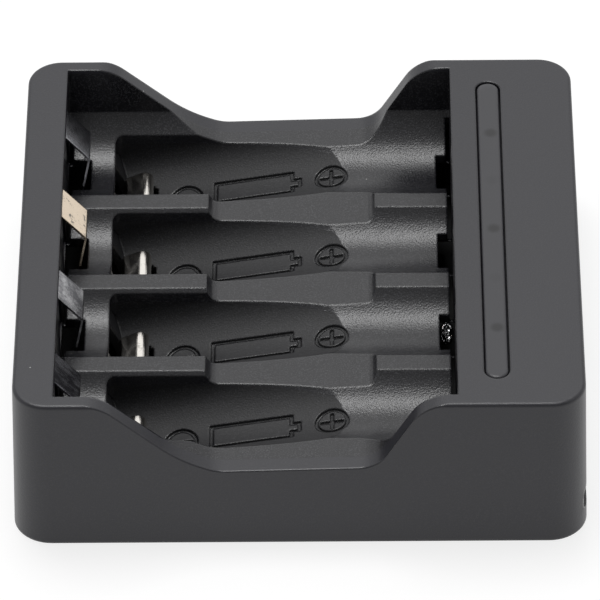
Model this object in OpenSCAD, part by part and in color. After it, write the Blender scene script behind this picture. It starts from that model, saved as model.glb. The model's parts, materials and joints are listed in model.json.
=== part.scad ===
// Four-bay charger for AA and AAA cells, in millimetres. X runs along the cells, from the sprung
// negative contacts on the left to the panel with the light bar on the right. Y runs from the
// front to the back and Z is up. The origin is on the table, under the middle of the case.

/* [Case] */
// Width of the plain land left of the wells, at the top of the case
land_l = 5.3; // [4.8:0.1:8]
// Length of the wells along the cells
well_l = 52.2; // [51.6:0.1:54]
// Width of the panel right of the wells, at the top of the case
panel_l = 16.5; // [15.5:0.1:22]
// Thickness of the front and back rims beside the wells
rim_t = 2.1; // [1.9:0.1:4]
// Height of the case
case_h = 23.3; // [22.6:0.1:27]
// Lean of the outer walls from the upright, in degrees
draft = 1.4; // [0.4:0.1:2.2]
// Radius of the upright corners
corner_r = 4.5; // [3.2:0.1:6]
// Radius of the rounding along the top edge
edge_r = 0.5; // [0.2:0.05:0.8]
// Thickness of the outer walls
wall_t = 1.8; // [1.4:0.1:1.85]
// Thickness of the panel and of the land
top_t = 1.8; // [1.4:0.1:2.2]
// Thickness of the two walls that close the ends of the wells
partition_t = 1.5; // [1.2:0.1:1.8]

/* [Bays] */
// Number of bays
bay_n = 4; // [2:1:4]
// Distance between the middles of two bays
bay_pitch = 16.6; // [16.2:0.1:18]
// Radius of the saddles that the AA cells lie in
saddle_r = 10.1; // [9.5:0.1:12]
// Height of the lowest line of the saddles
saddle_z = 11.3; // [10.8:0.1:12]
// Height of the raised ends of the ribs between the bays
rib_z = 14; // [13.6:0.1:15]
// Radius of the floors of the sloping channels that the AAA cells lie in
channel_r = 8; // [7.4:0.1:9]
// Width of the channels between their upright sides
channel_w = 12.7; // [11.8:0.1:13]
// Slope of the channels, in degrees
channel_slope = 9.9; // [9:0.1:10.3]
// Thickness of the moulding under the saddles and channels
skin_t = 1.3; // [1:0.05:1.5]
// Width of the narrow groove at the foot of each end wall
groove_w = 0.55; // [0.3:0.05:0.8]

/* [Finger dips] */
// Height of the left end of the low middle stretch of rims and ribs
dip_z = 12.2; // [11.9:0.1:13]
// Slope of the low middle stretch, in degrees
dip_slope = 1.5; // [0:0.1:2]
// Steepness of the left side of a dip, in degrees
dip_left_a = 42; // [36:1:50]
// Steepness of the right side of a dip, in degrees
dip_right_a = 60; // [50:1:66]

/* [Contacts] */
// Thickness of the contact strip
strip_t = 0.3; // [0.2:0.05:0.4]
// Width of the sprung AA contacts
aa_leaf_w = 5.6; // [4.5:0.1:6.2]
// How far the bend of an AA contact stands into the well
aa_leaf_reach = 3.15; // [2.6:0.05:3.4]
// Height of the bend of an AA contact
aa_leaf_z = 16.75; // [16:0.05:18]
// Width of the sprung AAA contacts
aaa_leaf_w = 5.1; // [4:0.1:5.4]
// Height of the crown of an AAA contact
aaa_leaf_z = 10.05; // [9.4:0.05:10.1]
// Width of the positive contacts
plus_w = 6.4; // [5:0.1:7]

/* [Light bar] */
// Width of the light bar
bar_w = 3; // [2.4:0.1:4]
// Length of the light bar
bar_l = 60.4; // [50:0.2:62]
// Gap around the light bar
bar_gap = 0.2; // [0.1:0.05:0.3]
// Radius of the rounding along the top edge of the light bar
bar_edge_r = 0.35; // [0.2:0.05:0.6]
// Number of lamps under the light bar
led_n = 5; // [3:1:5]
// Distance between two lamps
led_pitch = 9.95; // [8:0.05:11]

/* [Underside] */
// Thickness of the bottom cover
cover_t = 1.2; // [1:0.1:1.4]
// Thickness of the circuit board
board_t = 1; // [0.8:0.1:1.2]
// Width of the inlet in the right wall
inlet_w = 8.2; // [7.9:0.1:9]
// Height of the inlet in the right wall
inlet_h = 3; // [2.8:0.1:3.4]
// Distance from the middle of the case to the middle of the inlet, towards the front
inlet_y = 28.9; // [24:0.1:29.2]

/* [Hidden] */
$fn = 64;

// Cuts run past the faces that they open by this much
over = 1;
// Clearance of parts that are laid into one another
fit_gap = 0.15;
// Clearance around a contact in its opening
leaf_gap = 0.3;

// Case
case_l = land_l + well_l + panel_l;
bay_margin = 0.2;
well_d = bay_n * bay_pitch + 2 * bay_margin;
case_d = well_d + 2 * rim_t;
flare = case_h * tan(draft);
well_x0 = land_l - case_l / 2;
well_x1 = well_x0 + well_l;
under_z = case_h - top_t;
round_steps = 5;

// Saddles and channels
saddle_axis_z = saddle_z + saddle_r;
channel_meet_in = 14.3;
channel_meet_x = well_x1 - channel_meet_in;
channel_end = 6.3;
channel_x0 = well_x0 + channel_end;
channel_corner_r = 1;
channel_side_r = 3.5;
channel_lean = 20.5;
channel_wall_t = 1.3;
rib_under_z = dip_z - skin_t;
outer_half = bay_pitch / 2 + bay_margin;
outer_z = saddle_axis_z - sqrt(pow(saddle_r, 2) - pow(outer_half, 2));
groove_floor = 0.7;

// Low stretch of the ribs and rims
low_in_left = 19.3;
low_in_right = 10.4;
low_x0 = well_x0 + low_in_left;
low_x1 = well_x1 - low_in_right;
low_fillet_left = 1.75;
low_fillet_right = 1.2;

// Sides of the finger dips
dip_in_left = 21.8;
dip_in_right = 12.8;
dip_x0 = well_x0 + dip_in_left;
dip_x1 = well_x1 - dip_in_right;
dip_toe_r = 5.8;
dip_toe_a = 20;
dip_sweep_r = 19.5;
dip_left_brow_r = 5.9;
dip_right_toe_r = 4.3;
dip_right_brow_r = 5.8;
arc_steps = 10;

// Marks moulded into the channels
mark_depth = 0.35;
mark_w = 0.48;
ring_r = 2.26;
sign_l = 3.1;
plus_mark_in = 16.25;
minus_mark_step = 19.9;
cell_mark_l = 11;
cell_mark_step = 16.1;
plus_mark_x = well_x1 - plus_mark_in;
minus_mark_x = plus_mark_x - minus_mark_step;
cell_mark_x0 = plus_mark_x - cell_mark_step;
cell_mark_x1 = cell_mark_x0 + cell_mark_l;
cell_mark_w = 4.3;
nub_mark_w = 1.9;
nub_mark_l = 1.05;

// Light bar
bar_in = 5.1;
bar_x = well_x1 + bar_in;
bar_flange = 0.9;
bar_flange_t = 1;

// Underside
foot_l = case_l + 2 * flare - 2 * wall_t;
foot_d = case_d + 2 * flare - 2 * wall_t;
foot_r = corner_r + flare - wall_t;
solder_gap = 0.7;
board_z0 = cover_t + solder_gap;
board_z1 = board_z0 + board_t;
board_margin = 0.5;
rest_r = 1.5;
screw_cup_r = 3.3;
screw_cup_t = 1.3;
screw_head_r = 2.2;
screw_head_h = 1.3;
screw_sunk = 0.5;
screw_r = 1;
screw_l = 6.5;
cross_l = 2.4;
cross_w = 0.5;
cross_depth = 0.6;
boss_r = 2.5;
boss_front_h = 14;
boss_clear = 0.5;
screw_seat_z = screw_sunk + screw_head_h;
cup_z = screw_seat_z + screw_cup_t;
boss_in = 11.7;
boss_sunk = 0.3;
boss_x_left = well_x0 + boss_in;
boss_x_right = well_x1 + partition_t + boss_r - boss_sunk;
boss_y_right = case_d / 2 - wall_t - screw_cup_r - leaf_gap;
boss_places = [
    [boss_x_left, (bay_n / 2 - 1) * bay_pitch],
    [boss_x_left, (1 - bay_n / 2) * bay_pitch],
    [boss_x_right, boss_y_right],
    [boss_x_right, -boss_y_right]
];

// Contacts
aa_window_w = aa_leaf_w + 2 * leaf_gap;
aa_hole_l = 3.05;
aa_root_in = 0.3;
aa_root_x = well_x0 + aa_root_in;
aa_root_gap = 0.1;
aa_tip_r = 0.5;
aa_leaf_top_gap = 0.45;
aa_leaf_top_z = under_z - aa_leaf_top_gap;
aa_leaf_upper_a = 50;
aaa_slot_w = aaa_leaf_w + 2 * leaf_gap;
aaa_face_in = 5.25;
aaa_face_x = channel_x0 + aaa_face_in;
aaa_crown_r = 1.05;
aaa_leg_h = 3.4;
aaa_shoulder_l = 2;
aaa_shoulder_a = 24;
aaa_shoulder_r = 0.7;
aaa_back_a = 80;
aaa_notch_l = 0.55;
aaa_notch_w = 5.1;
plus_window_w = plus_w + 2 * leaf_gap;
plus_hole_l = 1.9;
plus_recess = 0.4;
plus_top_gap = 0.6;

// Inlet and socket
inlet_round = 0.8;
socket_w = 7.5;
socket_h = 2.5;
socket_l = 5.6;
socket_t = 0.3;
socket_lip = 0.5;
tongue_w = 3.7;
tongue_t = 0.6;
tongue_l = 3.6;
socket_z = board_z1 + socket_h / 2;
face_x = case_l / 2 + flare * (1 - socket_z / case_h);
socket_x1 = face_x - socket_lip;

// Parts on the board
controller_size = [5, 6.2, 1.7];
inductor_size = [6, 6, 3];
inductor_round = 1.4;
capacitor_r = 2.5;
capacitor_h = 8;
transistor_size = [6.5, 3.5, 1.7];
led_r = 1.45;
led_rim_r = 1.7;
led_rim_h = 0.6;
led_h = 4.2;
led_lead = 0.45;
led_lead_gap = 2.54;
led_gap = 0.3;
parts_in = 9.8;
parts_x = well_x1 + parts_in;
parts_y = 6;
capacitor_gap = 1.5;
capacitor_y = parts_y + 2 * capacitor_r;

case_grey = "#3b3b3e";
smoke_grey = "#4a4a4e";
board_black = "#16191a";
part_black = "#222224";
nickel = "#b9b2a8";
steel = "#8f9194";

function bay_y(i) = ((bay_n + 1) / 2 - i) * bay_pitch;
function led_y(i) = ((led_n + 1) / 2 - i) * led_pitch;
function low_z(x) = dip_z + (x - dip_x0) * tan(dip_slope);

// Half the width of a saddle at height z
function saddle_half(z) = sqrt(pow(saddle_r, 2) - pow(saddle_axis_z - z, 2));

// Points along an arc about c, from angle a0 to angle a1
function arc(c, r, a0, a1) = [
    for (i = [0 : arc_steps])
        let (a = a0 + (a1 - a0) * i / arc_steps) c + r * [cos(a), sin(a)]
];
function heading(a, b) = (b - a) / norm(b - a);
function left_of(d) = [-d[1], d[0]];

// Point i of path p, moved sideways by s with a mitre at each bend
function beside(p, i, s) =
    let (
        a = left_of(i > 0 ? heading(p[i - 1], p[i]) : heading(p[0], p[1])),
        b = i < len(p) - 1 ? left_of(heading(p[i], p[i + 1])) : a
    ) p[i] + s * (a + b) / (1 + a * b);
function band(p, t) = concat(
    [for (i = [0 : len(p) - 1]) beside(p, i, t / 2)],
    [for (i = [len(p) - 1 : -1 : 0]) beside(p, i, -t / 2)]
);

// A profile drawn in X and Z, carried w along Y about the plane Y = 0
module upright(w) {
    rotate([90, 0, 0]) linear_extrude(w, center = true) children();
}

// A strip of sheet metal bent along a path in X and Z
module bent_strip(path, w) {
    upright(w) polygon(band(path, strip_t));
}

module block(x0, x1, y0, y1, z0, z1) {
    translate([x0, y0, z0]) cube([x1 - x0, y1 - y0, z1 - z0]);
}

// Half of an outline from the middle line out to a leaning side with a rounded top edge
function side_outline(r, h, lean, round_r) =
    let (c = [r - round_r * (1 - sin(lean)) / cos(lean), h - round_r])
    concat(
        [[0, 0], [r + h * tan(lean), 0]],
        [for (i = [0 : round_steps])
            let (a = lean + (90 - lean) * i / round_steps) c + round_r * [cos(a), sin(a)]],
        [[0, h]]
    );

module rounded_plate(l, d, r, h) {
    linear_extrude(h) {
        square([l - 2 * r, d], center = true);
        square([l, d - 2 * r], center = true);
        for (x = [-1, 1], y = [-1, 1])
            translate([x * (l / 2 - r), y * (d / 2 - r)]) circle(r);
    }
}

// Leaning box with upright rounded corners, set in from the outside of the case by inset
module leaning_box(inset, round_r) {
    a = case_l / 2 - corner_r;
    b = case_d / 2 - corner_r;
    side = side_outline(corner_r - inset, case_h, draft, round_r);
    block(-a, a, -b, b, 0, case_h);
    for (s = [-1, 1]) {
        upright(2 * b) polygon([for (p = side) [s * (a + p[0]), p[1]]]);
        rotate([0, 0, 90]) upright(2 * a) polygon([for (p = side) [s * (b + p[0]), p[1]]]);
        for (t = [-1, 1]) translate([s * a, t * b, 0]) rotate_extrude() polygon(side);
    }
}

// Bar with round ends and a rounded top edge, along Y
module stadium(l, w, h, round_r) {
    side = side_outline(w / 2, h, 0, round_r);
    for (s = [-1, 1]) {
        translate([0, s * (l - w) / 2, 0]) rotate_extrude() polygon(side);
        upright(l - w) polygon([for (p = side) [s * p[0], p[1]]]);
    }
}

// Outline of a finger dip, from its left brow over the floor to its right brow
function dip_outline() =
    let (
        s = dip_slope,
        z0 = low_z(dip_x0),
        z1 = low_z(dip_x1),
        toe_c = [dip_x0 + dip_toe_r * sin(s), z0 + dip_toe_r * cos(s)],
        toe = arc(toe_c, dip_toe_r, 270 - dip_toe_a, 270 + s),
        sweep_c = toe[0] + dip_sweep_r * [sin(dip_toe_a), cos(dip_toe_a)],
        sweep = arc(sweep_c, dip_sweep_r, 270 - dip_left_a, 270 - dip_toe_a),
        brow_z = case_h - dip_left_brow_r * (1 - cos(dip_left_a)),
        brow_x = sweep[0][0] - (brow_z - sweep[0][1]) / tan(dip_left_a),
        brow_c = [brow_x - dip_left_brow_r * sin(dip_left_a), case_h - dip_left_brow_r],
        left_brow = arc(brow_c, dip_left_brow_r, 90, 90 - dip_left_a),
        right_c = [dip_x1 - dip_right_toe_r * sin(s), z1 + dip_right_toe_r * cos(s)],
        right_toe = arc(right_c, dip_right_toe_r, 270 + s, 270 + dip_right_a),
        foot = right_toe[arc_steps],
        top_z = case_h - dip_right_brow_r * (1 - cos(dip_right_a)),
        top_x = foot[0] + (top_z - foot[1]) / tan(dip_right_a),
        top_c = [top_x + dip_right_brow_r * sin(dip_right_a), case_h - dip_right_brow_r],
        right_brow = arc(top_c, dip_right_brow_r, 90 + dip_right_a, 90)
    ) concat(
        [brow_c + [0, dip_left_brow_r + over]], left_brow, sweep, toe,
        right_toe, right_brow, [top_c + [0, dip_right_brow_r + over]]
    );

// Middle, at x, of an arc of radius r that runs into the low stretch
function above_low(x, r) = [x, low_z(x + r * sin(dip_slope)) + r * cos(dip_slope)];

// Outline of the low middle stretch of the ribs
function low_outline() =
    let (
        left_c = above_low(low_x0 + low_fillet_left, low_fillet_left),
        right_c = above_low(low_x1 - low_fillet_right, low_fillet_right)
    ) concat(
        [[low_x0, rib_z + over]], arc(left_c, low_fillet_left, 180, 270 + dip_slope),
        arc(right_c, low_fillet_right, 270 + dip_slope, 360), [[low_x1, rib_z + over]]
    );

// Bar along a sloping channel, its floor and sides grown outwards by grow
module channel_bar(grow) {
    y = channel_w / 2 - channel_side_r;
    turn = asin(y / (channel_r - channel_side_r));
    z = channel_r - (channel_r - channel_side_r) * cos(turn);
    floor_y = (channel_r + grow) * sin(turn);
    side_y = channel_w / 2 + grow;
    translate([channel_meet_x, 0, saddle_z]) rotate([0, -channel_slope, 0]) {
        intersection() {
            translate([-well_l, 0, channel_r])
                rotate([0, 90, 0]) cylinder(2 * well_l, r = channel_r + grow);
            block(-well_l, well_l, -floor_y, floor_y, -channel_r, 2 * channel_r);
        }
        for (s = [-1, 1]) translate([-well_l, s * y, z])
            rotate([0, 90, 0]) cylinder(2 * well_l, r = channel_side_r + grow);
        block(-well_l, well_l, -side_y, side_y, z, 2 * channel_r);
    }
}

// All that lies right of the leaning left end of a channel, the end moved left by grow
module right_of_end(grow) {
    x = channel_x0 - grow;
    t = tan(channel_lean);
    upright(2 * bay_pitch) polygon([
        [x + saddle_z * t, 0], [well_x1, 0], [well_x1, case_h], [x - (case_h - saddle_z) * t, case_h]
    ]);
}

// Plan of a channel with two round corners at its left end, grown outwards by grow
module channel_plan(grow) {
    r = channel_corner_r + grow;
    w = channel_w + 2 * grow;
    translate([channel_x0 - grow + r, 0]) {
        translate([0, -w / 2]) square([well_x1 - channel_x0 + grow - r, w]);
        translate([-r, r - w / 2]) square([2 * r, w - 2 * r]);
        for (s = [-1, 1]) translate([0, s * (w / 2 - r)]) circle(r);
    }
}

module sign_marks() {
    for (x = [plus_mark_x, minus_mark_x]) translate([x, 0, 0]) {
        difference() {
            cylinder(case_h, r = ring_r);
            translate([0, 0, -over]) cylinder(case_h + 2 * over, r = ring_r - mark_w);
        }
        translate([-sign_l / 2, -mark_w / 2, 0]) cube([sign_l, mark_w, case_h]);
    }
    translate([plus_mark_x - mark_w / 2, -sign_l / 2, 0]) cube([mark_w, sign_l, case_h]);
}

module cell_mark() {
    difference() {
        union() {
            block(cell_mark_x0, cell_mark_x1, -cell_mark_w / 2, cell_mark_w / 2, 0, case_h);
            block(cell_mark_x1 - mark_w, cell_mark_x1 + nub_mark_l,
                -nub_mark_w / 2, nub_mark_w / 2, 0, case_h);
        }
        translate([0, 0, -over]) {
            block(cell_mark_x0 + mark_w, cell_mark_x1 - mark_w,
                mark_w - cell_mark_w / 2, cell_mark_w / 2 - mark_w, 0, case_h + 2 * over);
            block(cell_mark_x1 - 2 * mark_w, cell_mark_x1 + nub_mark_l - mark_w,
                mark_w - nub_mark_w / 2, nub_mark_w / 2 - mark_w, 0, case_h + 2 * over);
        }
    }
}

// Everything that is open in one bay below the tops of the ribs
module bay_space() {
    intersection() {
        union() {
            translate([well_x0, 0, saddle_axis_z])
                rotate([0, 90, 0]) cylinder(well_l, r = saddle_r);
            intersection() {
                channel_bar(0);
                linear_extrude(case_h) channel_plan(0);
                right_of_end(0);
            }
            intersection() {
                channel_bar(mark_depth);
                union() {
                    sign_marks();
                    cell_mark();
                }
            }
        }
        block(well_x0, well_x1, -bay_pitch, bay_pitch, 0, saddle_axis_z);
    }
}

// Holes in the floor and the end walls of one bay, for its contacts
module bay_holes() {
    w = aa_window_w / 2;
    block(well_x0, well_x0 + aa_hole_l, -w, w, 0, rib_z);
    block(well_x0 - partition_t - over, well_x0 + aa_hole_l - over, -w, w, saddle_z, under_z);
    v = aaa_slot_w / 2;
    slot_z = saddle_z - skin_t;
    block(channel_x0 - channel_wall_t - over, channel_x0 + over, -v, v, 0, slot_z);
    block(channel_x0, aaa_face_x + fit_gap, -v, v, 0, rib_z);
    block(aaa_face_x, aaa_face_x + aaa_notch_l, -aaa_notch_w / 2, aaa_notch_w / 2, 0, slot_z);
    u = plus_window_w / 2;
    block(well_x1 - plus_hole_l, well_x1 + partition_t + over, -u, u, 0, saddle_z + over);
    block(well_x1 - over, well_x1 + partition_t + over, -u, u, saddle_z, under_z - over);
}

// The part of a bay's moulding that the hollow underside leaves standing
module bay_skin() {
    translate([well_x0 - over, 0, saddle_axis_z])
        rotate([0, 90, 0]) cylinder(well_l + 2 * over, r = saddle_r + skin_t);
    intersection() {
        channel_bar(skin_t);
        linear_extrude(case_h) channel_plan(channel_wall_t);
        right_of_end(channel_wall_t);
    }
}

module hollow() {
    intersection() {
        leaning_box(wall_t, 0);
        union() {
            difference() {
                block(-case_l, case_l, -case_d, case_d, -over, rib_under_z);
                for (i = [1 : bay_n]) translate([0, bay_y(i), 0]) bay_skin();
            }
            block(-case_l, well_x0 - partition_t, -case_d, case_d, 0, under_z);
            block(well_x1 + partition_t, case_l, -case_d, case_d, 0, under_z);
        }
    }
}

// Posts under the ribs and beside the right end wall, which the cover screws go into
module bosses() {
    for (p = boss_places) {
        top = p[0] < 0 ? rib_z : boss_front_h;
        translate([p[0], p[1], cup_z]) cylinder(top - cup_z, r = boss_r);
    }
}

module top_shell() {
    color(case_grey) difference() {
        leaning_box(0, edge_r);
        difference() {
            union() {
                hollow();
                translate([0, 0, -over])
                    rounded_plate(foot_l, foot_d, foot_r, over + cover_t);
            }
            bosses();
        }
        well_cut();
        boss_bores();
        translate([bar_x, 0, under_z - over])
            stadium(bar_l + 2 * bar_gap, bar_w + 2 * bar_gap, top_t + 2 * over, 0);
        inlet_cut();
    }
}

// The wells, the low stretch of ribs and rims, and the openings for the contacts
module well_cut() {
    y = bay_y(1) + saddle_half(rib_z);
    block(well_x0, well_x1, -y, y, rib_z, case_h + over);
    block(well_x0, well_x1, -well_d / 2, well_d / 2, outer_z, case_h + over);
    intersection() {
        for (i = [1 : bay_n]) translate([0, bay_y(i), 0]) bay_space();
        block(well_x0, well_x1, -well_d / 2, well_d / 2, 0, saddle_axis_z);
    }
    upright(2 * bay_y(1)) polygon(low_outline());
    for (y = [-1, 1]) translate([0, y * (well_d + case_d) / 4, 0])
        upright((case_d - well_d) / 2 + bay_pitch) polygon(dip_outline());
    for (i = [1 : bay_n]) translate([0, bay_y(i), 0]) bay_holes();
    end_grooves();
}

module end_grooves() {
    z = saddle_z - skin_t + groove_floor;
    block(well_x0, well_x0 + groove_w, -well_d / 2, well_d / 2, z, rib_z + over);
    block(well_x1 - groove_w, well_x1, -well_d / 2, well_d / 2, z, rib_z + over);
}

module boss_bores() {
    depth = screw_l + boss_clear;
    for (p = boss_places) translate([p[0], p[1], screw_seat_z])
        cylinder(depth, r = screw_r + fit_gap / 3);
}

module inlet_cut() {
    translate([face_x - wall_t - over, -inlet_y, socket_z]) rotate([0, 90, 0])
        rounded_plate(inlet_h, inlet_w, inlet_round, wall_t + flare + 2 * over);
}

module bottom_cover() {
    color(case_grey) difference() {
        union() {
            rounded_plate(foot_l - 2 * fit_gap, foot_d - 2 * fit_gap, foot_r - fit_gap, cover_t);
            for (p = boss_places) translate([p[0], p[1], 0]) cylinder(cup_z, r = screw_cup_r);
            for (x = [-1, 1], y = [-1, 0, 1])
                translate([x * case_l / 4, y * case_d / 3, 0]) cylinder(board_z0, r = rest_r);
        }
        for (p = boss_places) translate([p[0], p[1], 0]) {
            translate([0, 0, -over]) cylinder(over + screw_seat_z, r = screw_head_r + leaf_gap);
            cylinder(cup_z + over, r = screw_r + fit_gap);
        }
    }
}

module light_bar() {
    color(smoke_grey) translate([bar_x, 0, 0]) {
        translate([0, 0, under_z]) stadium(bar_l, bar_w, top_t, bar_edge_r);
        translate([0, 0, under_z - bar_flange_t])
            stadium(bar_l + 2 * bar_flange, bar_w + 2 * bar_flange, bar_flange_t, 0);
    }
}

module circuit_board() {
    l = case_l - 2 * wall_t - 2 * board_margin;
    d = case_d - 2 * wall_t - 2 * board_margin;
    color(board_black) difference() {
        translate([0, 0, board_z0]) rounded_plate(l, d, corner_r - wall_t, board_t);
        for (p = boss_places) translate([p[0], p[1], board_z0 - over])
            cylinder(board_t + 2 * over, r = screw_cup_r + leaf_gap);
    }
}

// Round lamp on two long leads
module led(i) {
    top = under_z - bar_flange_t - led_gap;
    color("#d8d4c8") translate([bar_x, led_y(i), 0]) {
        translate([0, 0, top - led_h]) cylinder(led_h - led_r, r = led_r);
        translate([0, 0, top - led_r]) sphere(led_r);
        translate([0, 0, top - led_h]) cylinder(led_rim_h, r = led_rim_r);
        for (x = [-1, 1]) translate([x * led_lead_gap / 2 - led_lead / 2, -led_lead / 2, board_z1])
            cube([led_lead, led_lead, top - led_h + led_rim_h / 2 - board_z1]);
    }
}

module board_block(x, y, size, tint) {
    color(tint) translate([x - size[0] / 2, y - size[1] / 2, board_z1]) cube(size);
}

module charge_controller() {
    board_block(parts_x, parts_y, controller_size, part_black);
}

module inductor() {
    color(part_black) translate([parts_x, -parts_y, board_z1])
        rounded_plate(inductor_size[0], inductor_size[1], inductor_round, inductor_size[2]);
}

module capacitor(i) {
    y = capacitor_y + (2 * capacitor_r + capacitor_gap) * i;
    color(part_black) translate([parts_x, y, board_z1]) cylinder(capacitor_h, r = capacitor_r);
}

module bay_transistor(i) {
    board_block(well_x1 - transistor_size[0], bay_y(i), transistor_size, part_black);
}

// Folded steel shell of the inlet socket, open to the right
module usb_socket() {
    s = socket_h / 4;
    outline = [
        [-socket_w / 2, socket_h / 2], [socket_w / 2, socket_h / 2],
        [socket_w / 2, s - socket_h / 2], [socket_w / 2 - s, -socket_h / 2],
        [s - socket_w / 2, -socket_h / 2], [-socket_w / 2, s - socket_h / 2]
    ];
    share = 1 - 2 * socket_t / socket_h;
    inner = [for (p = outline) [p[0] - sign(p[0]) * socket_t, p[1] * share]];
    color(steel) translate([socket_x1 - socket_l, -inlet_y, socket_z])
        rotate([90, 0, 90]) difference() {
            linear_extrude(socket_l) polygon(outline);
            translate([0, 0, socket_t]) linear_extrude(socket_l) polygon(inner);
        }
}

// Tongue that carries the four pins of the socket
module usb_tongue() {
    x0 = socket_x1 - socket_l + socket_t;
    color(part_black) translate([0, -inlet_y, socket_z]) {
        block(x0, x0 + tongue_l + socket_t, -tongue_w / 2, tongue_w / 2, 0, tongue_t);
        block(x0, x0 + 2 * socket_t, -tongue_w / 2, tongue_w / 2, -tongue_t, tongue_t);
    }
}

// Sprung strip that rises from the board and bends towards the cell
module aa_contact(i) {
    root = [aa_root_x, board_z1 + aa_root_gap];
    tip_x = well_x0 + aa_leaf_reach;
    lower_a = atan2(aa_leaf_z - root[1], tip_x - root[0]);
    bend_c = [tip_x - aa_tip_r - strip_t / 2, aa_leaf_z];
    bend = arc(bend_c, aa_tip_r, lower_a - 90, 90 - aa_leaf_upper_a);
    last = bend[arc_steps];
    end_x = last[0] - (aa_leaf_top_z - last[1]) / tan(aa_leaf_upper_a);
    path = concat([root], bend, [[end_x, aa_leaf_top_z]]);
    color(nickel) translate([0, bay_y(i), 0]) bent_strip(path, aa_leaf_w);
}

// Sprung strip with a rounded crown, its right face towards the end of an AAA cell
module aaa_contact(i) {
    face = aaa_face_x - strip_t / 2;
    crown_c = [face - aaa_crown_r, aaa_leaf_z - strip_t / 2 - aaa_crown_r];
    crown = arc(crown_c, aaa_crown_r, 0, 90 + aaa_shoulder_a);
    down = [sin(aaa_shoulder_a), -cos(aaa_shoulder_a)];
    bend_c = crown[arc_steps] - aaa_shoulder_l * left_of(down) + aaa_shoulder_r * down;
    bend = arc(bend_c, aaa_shoulder_r, 90 + aaa_shoulder_a, 90 + aaa_back_a);
    last = bend[arc_steps];
    foot_z = board_z1 + aa_root_gap;
    foot_x = last[0] - (last[1] - foot_z) / tan(aaa_back_a);
    path = concat([[face, crown_c[1] - aaa_leg_h]], crown, bend, [[foot_x, foot_z]]);
    color(nickel) translate([0, bay_y(i), 0]) bent_strip(path, aaa_leaf_w);
}

// Fixed strip behind the window in the right end wall, down to the board
module plus_contact(i) {
    x = well_x1 + plus_recess;
    top = under_z - over - plus_top_gap;
    color(nickel) translate([0, bay_y(i), 0])
        block(x, x + strip_t, -plus_w / 2, plus_w / 2, board_z1, top);
}

module cover_screw(i) {
    p = boss_places[i - 1];
    color(steel) translate([p[0], p[1], 0]) difference() {
        union() {
            translate([0, 0, screw_sunk]) cylinder(screw_head_h, r = screw_head_r);
            translate([0, 0, screw_seat_z]) cylinder(screw_l, r = screw_r);
        }
        for (a = [0, 90]) rotate([0, 0, a])
            translate([-cross_l / 2, -cross_w / 2, screw_sunk - over])
                cube([cross_l, cross_w, over + cross_depth]);
    }
}

top_shell();
bottom_cover();
light_bar();
circuit_board();
led(1);  // led_1
led(2);  // led_2
led(3);  // led_3
led(4);  // led_4
led(5);  // led_5
charge_controller();
inductor();
capacitor(1);  // capacitor_1
capacitor(2);  // capacitor_2
bay_transistor(1);  // bay_transistor_1
bay_transistor(2);  // bay_transistor_2
bay_transistor(3);  // bay_transistor_3
bay_transistor(4);  // bay_transistor_4
usb_socket();
usb_tongue();
aa_contact(1);  // aa_contact_1
aa_contact(2);  // aa_contact_2
aa_contact(3);  // aa_contact_3
aa_contact(4);  // aa_contact_4
aaa_contact(1);  // aaa_contact_1
aaa_contact(2);  // aaa_contact_2
aaa_contact(3);  // aaa_contact_3
aaa_contact(4);  // aaa_contact_4
plus_contact(1);  // plus_contact_1
plus_contact(2);  // plus_contact_2
plus_contact(3);  // plus_contact_3
plus_contact(4);  // plus_contact_4
cover_screw(1);  // cover_screw_1
cover_screw(2);  // cover_screw_2
cover_screw(3);  // cover_screw_3
cover_screw(4);  // cover_screw_4
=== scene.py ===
"""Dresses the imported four-bay battery charger and sets the photograph's view of it.

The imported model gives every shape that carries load. This script gives the finishes, the small
metal and solder pieces that repeat, the camera, the lamps and the floor. Lengths in the classes
are in millimetres, and are turned to metres where a mesh or a node needs them.
"""

import json
import logging
import math
from collections.abc import Iterable
from dataclasses import dataclass, field
from enum import Enum
from functools import lru_cache
from typing import Any, Protocol

import bpy
from mathutils import Matrix, Vector

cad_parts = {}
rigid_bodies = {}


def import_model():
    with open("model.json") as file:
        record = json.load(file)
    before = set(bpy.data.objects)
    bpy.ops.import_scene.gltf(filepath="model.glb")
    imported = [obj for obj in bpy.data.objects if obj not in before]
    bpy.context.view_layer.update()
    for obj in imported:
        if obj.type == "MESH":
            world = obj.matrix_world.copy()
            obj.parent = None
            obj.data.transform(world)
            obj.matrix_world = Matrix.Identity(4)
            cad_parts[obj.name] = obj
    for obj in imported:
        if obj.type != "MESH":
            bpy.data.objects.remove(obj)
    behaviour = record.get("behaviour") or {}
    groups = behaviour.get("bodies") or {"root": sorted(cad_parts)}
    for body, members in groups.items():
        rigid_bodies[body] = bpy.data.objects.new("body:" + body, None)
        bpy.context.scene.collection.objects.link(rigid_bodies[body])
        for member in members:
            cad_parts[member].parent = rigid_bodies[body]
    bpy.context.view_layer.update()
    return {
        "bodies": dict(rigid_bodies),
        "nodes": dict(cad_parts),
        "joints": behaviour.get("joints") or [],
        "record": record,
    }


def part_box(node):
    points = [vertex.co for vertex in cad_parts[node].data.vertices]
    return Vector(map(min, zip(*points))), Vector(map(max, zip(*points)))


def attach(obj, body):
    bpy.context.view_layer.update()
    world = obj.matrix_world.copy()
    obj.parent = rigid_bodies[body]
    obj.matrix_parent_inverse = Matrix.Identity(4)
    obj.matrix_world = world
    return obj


LOG = logging.getLogger("charger")
MM = 0.001
# Points of a grown mesh that lie closer than this, in metres, become one point.
WELD = 1e-6

Socket = bpy.types.NodeSocket
Point = tuple[float, float, float]


class Body(Enum):
    """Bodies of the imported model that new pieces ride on."""

    CASE = "case"


class Slot(Enum):
    """Material slots of the record."""

    STEEL = "steel"


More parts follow.
